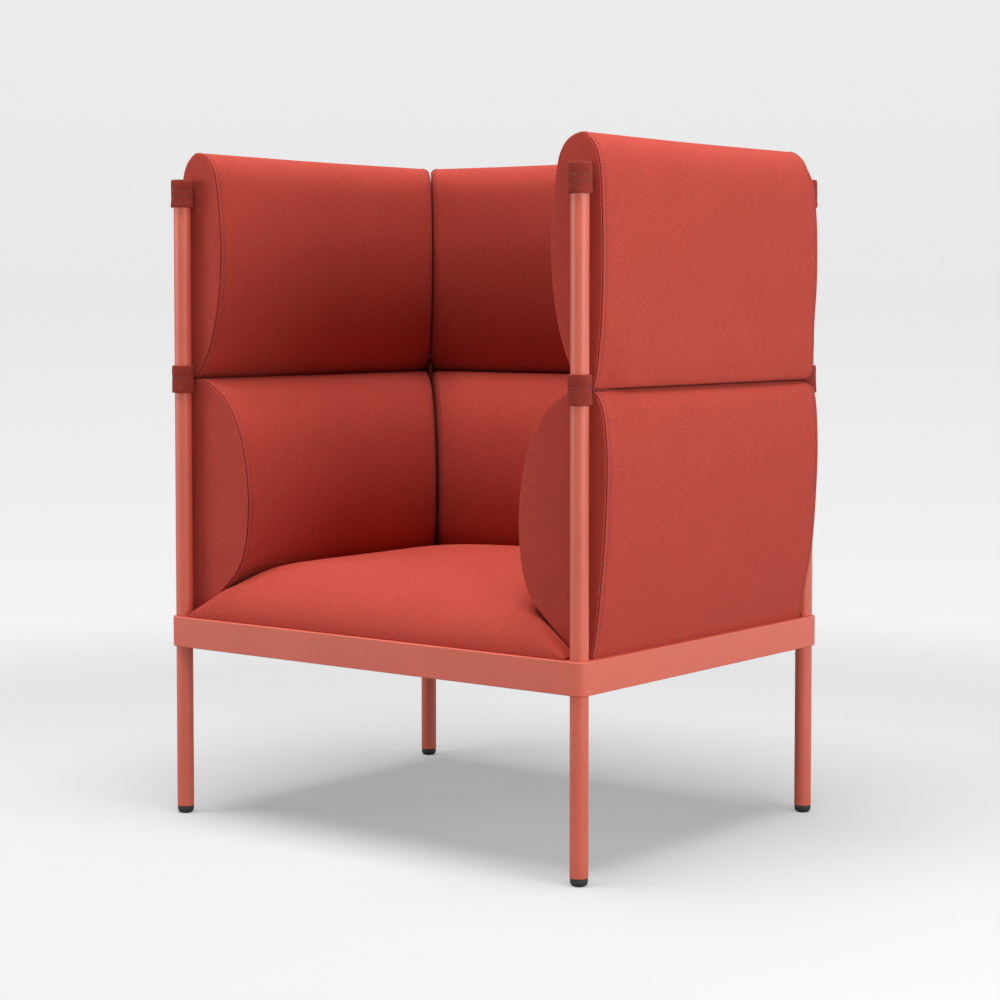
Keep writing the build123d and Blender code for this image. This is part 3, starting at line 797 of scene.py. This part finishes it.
def seat_layout():
    """Points of the seat as x, y and height over its foot, in mm, as a grid of rows from the front."""
    side = half_width - FLANK_FOOT - SEAT_CLEARANCE
    back = rear_edge - FLANK_FOOT - SEAT_CLEARANCE
    front = front_edge - SEAT_NOSE_OUT
    rows = []
    for angle in np.linspace(0, math.pi / 2, NOSE_ROWS):
        rows.append((front + SEAT_NOSE_DEEP * (1 - math.cos(angle)), SEAT_HEIGHT * math.sin(angle)))
    last = rows[-1][0]
    rows += [(y, SEAT_HEIGHT) for y in np.linspace(last, back - BACK_BAND, MIDDLE_ROWS)[1:]]
    rows += [(y, SEAT_HEIGHT) for y in np.linspace(back - BACK_BAND, back, BACK_ROWS)[1:]]
    edge = np.linspace(0, EDGE_BAND, EDGE_COLUMNS)
    inner = np.linspace(-side + EDGE_BAND, side - EDGE_BAND, MIDDLE_COLUMNS)[1:-1]
    across = np.concatenate([-side + edge, inner, (side - edge)[::-1]])
    y, nose_height = np.array(rows).T
    x_grid, y_grid = np.meshgrid(across, y)
    crown = SEAT_HEIGHT - SEAT_CROWN * (x_grid / CROWN_HALF) ** 2
    front_rise = np.repeat((nose_height / SEAT_HEIGHT)[:, None], len(across), axis=1) * crown
    flank, behind = (FLANK_RISE * away + FLANK_STEEPER * np.maximum(0, away - FLANK_BEND)
                     for away in (side - np.abs(x_grid), back - y_grid))
    height = soft_least(soft_least(flank, behind), front_rise)
    in_front = np.clip((front_edge + SETBACK + CORNER_BACK - y_grid) / CORNER_LENGTH, 0, 1)
    x_grid = x_grid * (1 + in_front * CORNER_REACH / side)
    return x_grid, y_grid, np.maximum(height, 0)


x_grid, y_grid, height = seat_layout()
rows, columns = x_grid.shape
print("seat sheet of", rows, "rows and", columns, "columns, up to", height.max().round(1), "mm high")

# %% Sew the seat
SEAT_OFF_RAIL = 0.4 * MM
SEAT_RIM = 20.0 * MM  # the seat is held this far up from the rails
SEAT_TUCKED = 105.0 * MM  # and this far in from the posts at the sides and the back
SEAT_SWELL_CAP = 4.0 * MM
LINING = (0.30, 0.29, 0.28)
FACES_DOWN = -0.9  # faces that look down more than this are lining

upper = np.column_stack([x_grid.ravel(), y_grid.ravel(), height.ravel()])
under = upper * (1, 1, 0)
seat_points = np.vstack([upper, under]) * MM + (0, 0, rail_top + SEAT_OFF_RAIL)
seat_faces, seat_cloth = [], []
for lift in (0, rows * columns):
    for j in range(rows - 1):
        for i in range(columns - 1):
            a = lift + j * columns + i
            face = (a, a + 1, a + columns + 1, a + columns)
            seat_faces.append(face)
            spots = [k - lift for k in face]
            seat_cloth.append(tuple((y_grid.flat[k] + height.flat[k], x_grid.flat[k]) for k in spots))
seat = closed_mesh("seat_cushion", seat_points, seat_faces, seat_cloth, [0] * len(seat_faces))
places = np.array([v.co for v in seat.data.vertices])
seat_held = places[:, 2] < rail_top + SEAT_RIM
seat_held |= np.abs(places[:, 0]) > post_x - SEAT_TUCKED
seat_held |= places[:, 1] > rear_y - SEAT_TUCKED
swell(seat, seat_held, SEAT_SWELL_CAP)
seat.data.materials.append(finishes["cover_fabric"])
seat.data.materials.append(upholstery("seat_lining", LINING, RIB_PITCH, 0.3))
for face in seat.data.polygons:
    face.material_index = 1 if face.normal.z < FACES_DOWN else 0
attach(seat, "frame")
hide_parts("seat_cover", "seat_foam")
print("seat", len(seat.data.polygons), "faces")

# %% [markdown]
# Eight fabric sleeves tie the panels to the posts: four caps on the post tops and four bands where
# the panels meet. Each is a ring of cloth drawn up from a circle, extruded and pulled in at its
# stitched rows.

# %% Wrap the sleeves
SLEEVE_SIDES = 48
# Share of the height and growth of the radius in mm at each ring of a sleeve, from the rim upwards.
CAP_PROFILE = (
    (0.03, 1.0), (0.08, 1.2), (0.20, 0.5), (0.33, 0.2), (0.385, 0.1), (0.40, -0.7), (0.415, 0.1),
    (0.50, 0.5), (0.585, 0.1), (0.60, -0.7), (0.615, 0.1), (0.75, 0.3), (0.92, 0.2), (0.97, -0.3),
    (1.0, -1.4),
)
BAND_PROFILE = (
    (0.03, 1.0), (0.10, 1.0), (0.25, 0.4), (0.45, 0.3), (0.56, -0.1), (0.58, -0.9), (0.60, -0.1),
    (0.68, 0.3), (0.80, 0.4), (0.92, 0.4), (0.97, 0.1), (1.0, -0.7),
)
CAP_ROWS = (0.40, 0.60)  # share of the height at each stitched row
BAND_ROWS = (0.58,)
ROOF_STEPS = (2.0, 6.0, 12.0)  # mm that each ring of a cap's roof is smaller than the one before


def next_ring(axis, rise, z, growth):
    """Extrudes the selected ring by that rise and then widens it round the post axis."""
    bpy.ops.mesh.extrude_region_move(TRANSFORM_OT_translate={"value": (0, 0, rise)})
    bpy.ops.transform.resize(value=(growth, growth, 1), center_override=(axis.x, axis.y, z))


def wrap_sleeve(node, profile, roofed):
    """A sleeve drawn up ring by ring round its post, with the post's axis and the sleeve's radius."""
    low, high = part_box(node)
    corner = node.split("_", 2)[2]
    axis = middle("post_" + corner)
    radius = min(abs(axis.x - low[0]), abs(high[0] - axis.x))
    tall = high[2] - low[2]
    bpy.ops.object.select_all(action="DESELECT")
    bpy.ops.mesh.primitive_circle_add(
        vertices=SLEEVE_SIDES, radius=radius, location=(axis.x, axis.y, low[2]), fill_type="NOTHING",
    )
    piece = bpy.context.object
    piece.name = node + "_wrap"
    bpy.ops.object.transform_apply(location=True)
    bpy.ops.object.mode_set(mode="EDIT")
    bpy.ops.mesh.select_all(action="SELECT")
    before_z, before_r = low[2], radius
    for share, growth in profile:
        z = low[2] + share * tall
        r = radius + growth * MM
        next_ring(axis, z - before_z, z, r / before_r)
        before_z, before_r = z, r
    if roofed:
        for inset in ROOF_STEPS:
            r = before_r - inset * MM
            next_ring(axis, 0, before_z, r / before_r)
            before_r = r
        bpy.ops.mesh.merge(type="CENTER")
    bpy.ops.object.mode_set(mode="OBJECT")
    return piece, axis, radius


# %% Gather the sleeves
GATHERS = ((0.35, 17, 0.0), (0.25, 29, 1.0))  # depth in mm, number round the sleeve and start
GATHER_TALL = 3.0 * MM
UNEVEN = 0.3 * MM  # how far a sleeve is from round
UNEVEN_SIDES = 3
UNEVEN_TWIST = 90  # radians per metre of height
ROOF_MIDDLE = 5.0 * MM  # the middle of a roof stays as it is
WALL = 3.4 * MM


def pucker(piece, axis, rows):
    """Small gathers along the stitched rows, and an uneven rim, as vertex moves."""
    for v in piece.data.vertices:
        angle = math.atan2(v.co.y - axis.y, v.co.x - axis.x)
        gather = sum(depth * math.sin(number * angle + start) for depth, number, start in GATHERS)
        pull = 0.0
        for row in rows:
            near = math.exp(-((v.co.z - row) / GATHER_TALL) ** 2)
            pull += near * gather * MM
        pull += UNEVEN * math.sin(UNEVEN_SIDES * angle + v.co.z * UNEVEN_TWIST)
        away = Vector((v.co.x - axis.x, v.co.y - axis.y, 0))
        if away.length > ROOF_MIDDLE:
            v.co += away.normalized() * pull


def add_wall(piece):
    """Gives a sleeve the thickness of its cloth and smooths it."""
    thick = piece.modifiers.new("wall", "SOLIDIFY")
    thick.thickness = WALL
    thick.offset = -1
    smooth = piece.modifiers.new("smooth", "SUBSURF")
    smooth.levels = 1
    smooth.render_levels = 1
    bpy.ops.object.mode_set(mode="EDIT")
    bpy.ops.mesh.select_all(action="SELECT")
    bpy.ops.mesh.normals_make_consistent(inside=False)
    bpy.ops.object.mode_set(mode="OBJECT")
    for modifier in (thick.name, smooth.name):
        bpy.ops.object.modifier_apply(modifier=modifier)


# %% [markdown]
# Strips of the same cloth go from the sleeves to the panels: a tab at each panel end, a strap in the
# joint between a low and a high panel, and a gusset that closes the inner corner at the back. They
# are thin boxes with softened edges, because little more than their edges is ever seen.

# %% Cut the strips
TUCK = 2.0 * MM  # strips start this far inside their sleeve
TAB_LAP = 1.0 * MM
TAB_WIDE = 6.0 * MM
TAB_IN = 5.0 * MM  # tab to the sleeve's rims
STRAP_WIDE = 13.0 * MM
STRAP_THICK = 1.8 * MM
STRAP_OUT = 5.0 * MM  # strap to the post axis, outwards
STRAP_REACH = 32.0 * MM  # strap past the panel's end
GUSSET_REACH = 54.0 * MM  # gusset's inner edge to the post axis
GUSSET_THICK = 3.0 * MM
GUSSET_TALL = 72.0 * MM
GUSSET_RISE = 12.0 * MM  # gusset's top above the joint
STRIP_EDGE = 0.6 * MM


def cloth_strip(centre, size, turn=0.0):
    """A strip of cloth as a box with softened edges, turned about the upright."""
    bpy.ops.mesh.primitive_cube_add(size=1, location=centre, rotation=(0, 0, turn))
    strip = bpy.context.object
    strip.scale = size
    bpy.ops.object.transform_apply(location=True, rotation=True, scale=True)
    soft = strip.modifiers.new("edges", "BEVEL")
    soft.width = STRIP_EDGE
    soft.segments = 2
    bpy.ops.object.modifier_apply(modifier=soft.name)
    return strip


def tie_strips(node, axis, radius):
    """Tabs from a sleeve to the panel ends, straps in the joint and a gusset in the inner corner."""
    low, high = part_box(node)
    side = Vector((1 if axis.x > 0 else -1, 0, 0))
    ways = [(Vector((0, 1, 0)), side)]
    if "rear" in node:
        ways = [(Vector((0, -1, 0)), side), (-side, Vector((0, 1, 0)))]
    strips = []
    inner_end = radius - TUCK
    end = SETBACK * MM
    for towards, outwards in ways:
        level = Vector((axis.x, axis.y, (low[2] + high[2]) / 2))
        place = level + towards * (inner_end + end) / 2
        size = towards * (end - inner_end + TAB_LAP) + outwards * TAB_WIDE
        strips.append(cloth_strip(place, (abs(size.x), abs(size.y), high[2] - low[2] - 2 * TAB_IN)))
        if "mid" in node:
            place = level + towards * (inner_end + end + STRAP_REACH) / 2 + outwards * STRAP_OUT
            size = towards * (end - inner_end + STRAP_REACH) + outwards * STRAP_WIDE
            strips.append(cloth_strip(place, (abs(size.x), abs(size.y), STRAP_THICK)))
    if "mid_rear" in node:
        inwards = (Vector((0, -1, 0)) - side).normalized()
        place = Vector((axis.x, axis.y, high_foot + GUSSET_RISE - GUSSET_TALL / 2))
        place += inwards * (inner_end + GUSSET_REACH) / 2
        size = (GUSSET_REACH - inner_end, GUSSET_THICK, GUSSET_TALL)
        strips.append(cloth_strip(place, size, math.atan2(inwards.y, inwards.x)))
    return strips


# %% Sew the sleeves
def join_strips(piece, strips):
    """Makes one piece of a sleeve and its strips."""
    bpy.ops.object.select_all(action="DESELECT")
    for part in strips + [piece]:
        part.select_set(True)
    bpy.context.view_layer.objects.active = piece
    bpy.ops.object.join()
    bpy.ops.object.shade_smooth()


def lay_cloth(piece, axis, radius):
    """Cloth coordinates that run up a sleeve and round it, in metres."""
    layer = piece.data.uv_layers.new(name="cloth")
    for loop in piece.data.loops:
        co = piece.data.vertices[loop.vertex_index].co
        angle = math.atan2(co.y - axis.y, co.x - axis.x)
        layer.data[loop.index].uv = (co.z, angle * radius)


for node in [name for name in frame["nodes"] if name.startswith("sleeve_")]:
    roofed = node.startswith("sleeve_top")
    profile, shares = (CAP_PROFILE, CAP_ROWS) if roofed else (BAND_PROFILE, BAND_ROWS)
    piece, axis, radius = wrap_sleeve(node, profile, roofed)
    low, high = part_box(node)
    rows = [low[2] + share * (high[2] - low[2]) for share in shares]
    pucker(piece, axis, rows)
    add_wall(piece)
    join_strips(piece, tie_strips(node, axis, radius))
    lay_cloth(piece, axis, radius)
    piece.data.materials.append(finishes["sleeve_fabric"])
    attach(piece, "frame")
    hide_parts(node)
    around = np.linspace(0, math.tau, SLEEVE_SIDES, endpoint=False)
    circle = np.column_stack([axis.x + radius * np.cos(around), axis.y + radius * np.sin(around)])
    sew(node + "_stitches", piece, [np.column_stack([circle, np.full(SLEEVE_SIDES, row)]) for row in rows])
    print(node, len(piece.data.polygons), "faces")

# %% [markdown]
# The studio: a pale floor that fades into an even pale background, one large soft light high overhead
# and three softboxes round the chair: a wide one on the right, one in front on the left for the caps,
# and a weak one behind on the right for the edges.

# %% Floor
PALE = (0.385, 0.387, 0.391)
LIFT = 0.27  # how much paler the camera sees the floor
FLOOR_RADIUS = 3.2
FADE_FROM = 1.5  # distances from the chair between which the floor fades out
FADE_TO = 2.9


def combine(tree, operation, first, second):
    """Two values put together by that operation."""
    return add_node(tree, "ShaderNodeMath", {"operation": operation}, i0=first, i1=second).outputs["Value"]


def ease(tree, value, start, stop, low=0.0, high=1.0):
    """A value that goes softly from low to high as the given one goes from start to stop."""
    return add_node(
        tree, "ShaderNodeMapRange", {"interpolation_type": "SMOOTHSTEP"},
        Value=value, From_Min=start, From_Max=stop, To_Min=low, To_Max=high,
    ).outputs["Result"]


def studio_floor():
    material, tree, shader = new_finish("studio_floor")
    path = add_node(tree, "ShaderNodeLightPath").outputs
    fill(
        tree, shader, Base_Color=(*PALE, 1), Roughness=0.9, Specular_IOR_Level=0.0,
        Emission_Color=(1, 1, 1, 1), Emission_Strength=combine(tree, "MULTIPLY", path["Is Camera Ray"], LIFT),
    )
    place = object_place(tree)
    away = add_node(tree, "ShaderNodeVectorMath", {"operation": "LENGTH"}, i0=place)
    fade = ease(tree, away.outputs["Value"], FADE_FROM, FADE_TO)
    clear = add_node(tree, "ShaderNodeBsdfTransparent").outputs["BSDF"]
    blend = add_node(tree, "ShaderNodeMixShader", i0=fade, i1=shader.outputs["BSDF"], i2=clear)
    fill(tree, tree.nodes["Material Output"], Surface=blend.outputs["Shader"])
    return material


bpy.ops.object.select_all(action="DESELECT")
bpy.ops.mesh.primitive_circle_add(vertices=96, radius=FLOOR_RADIUS, fill_type="NGON", location=(0, 0, 0))
floor = bpy.context.object
floor.name = "studio_floor"
floor.data.materials.append(studio_floor())
print("floor", FLOOR_RADIUS, "m in radius")

# %% [markdown]
# The background is seen by the camera and in what shines, and it doesn't light the chair. The light
# that pale walls would send back comes from the same world: strong low down, weak from the ceiling
# and from straight in front.

# %% Background
FAR_WALLS = 0.85  # light that comes back from the pale walls and the floor further off
CEILING = 0.10
FRONT_SHARE = 0.30  # share of that light that comes from straight in front
FLOOR_TONE = (0.925, 0.925, 0.93, 1)
HORIZON_TONE = (0.805, 0.805, 0.805, 1)
WALL_TONE = (0.84, 0.84, 0.84, 1)

world = bpy.data.worlds.new("studio")
bpy.context.scene.world = world
world.use_nodes = True
sky = world.node_tree
path = add_node(sky, "ShaderNodeLightPath").outputs
shiny = combine(sky, "MAXIMUM", path["Is Glossy Ray"], path["Is Transmission Ray"])
seen = combine(sky, "MAXIMUM", path["Is Camera Ray"], shiny)
direction = add_node(sky, "ShaderNodeTexCoord").outputs["Generated"]
parts = add_node(sky, "ShaderNodeSeparateXYZ", Vector=direction).outputs
level = add_node(sky, "ShaderNodeMapRange", Value=parts["Z"], From_Min=-0.2, From_Max=0.2).outputs["Result"]
tone_ramp = add_node(sky, "ShaderNodeValToRGB", Fac=level)
stops = tone_ramp.color_ramp.elements
stops[0].position, stops[0].color = 0.08, FLOOR_TONE
stops[1].position, stops[1].color = 0.85, WALL_TONE
stops.new(0.50).color = HORIZON_TONE
beside = ease(sky, parts["Y"], -0.85, -0.35, FRONT_SHARE, 1.0)
low_down = ease(sky, parts["Z"], 0.15, 0.6, FAR_WALLS, CEILING)
lamp_sky = sky.nodes["Background"]
fill(sky, lamp_sky, Color=combine(sky, "MULTIPLY", beside, low_down), Strength=1.0)
backdrop = add_node(sky, "ShaderNodeBackground", Color=tone_ramp.outputs["Color"], Strength=1.0)
shaders = [node.outputs["Background"] for node in (lamp_sky, backdrop)]
choice = add_node(sky, "ShaderNodeMixShader", i0=seen, i1=shaders[0], i2=shaders[1])
fill(sky, sky.nodes["World Output"], Surface=choice.outputs["Shader"])
print("background ready")


# %% Lamps
def soft_lamp(name, place, aim, size, power):
    """A square area light at a place, turned to what it lights."""
    bpy.ops.object.light_add(type="AREA", location=place)
    lamp = bpy.context.object
    lamp.name = name
    lamp.data.size = size
    lamp.data.energy = power
    lamp.rotation_euler = (Vector(aim) - Vector(place)).to_track_quat("-Z", "Y").to_euler()


soft_lamp("overhead", (0.2, -0.9, 7.0), (0, -0.1, 0.5), 4.4, 645)
soft_lamp("right_softbox", (3.1, -0.6, 1.4), (0, 0, 0.75), 1.6, 50)
soft_lamp("left_softbox", (-2.3, -2.5, 1.4), (0, -0.3, 0.6), 1.4, 36)
soft_lamp("rear_softbox", (2.4, 2.8, 0.9), (0, 0, 0.65), 1.4, 10)
print("lamps ready")
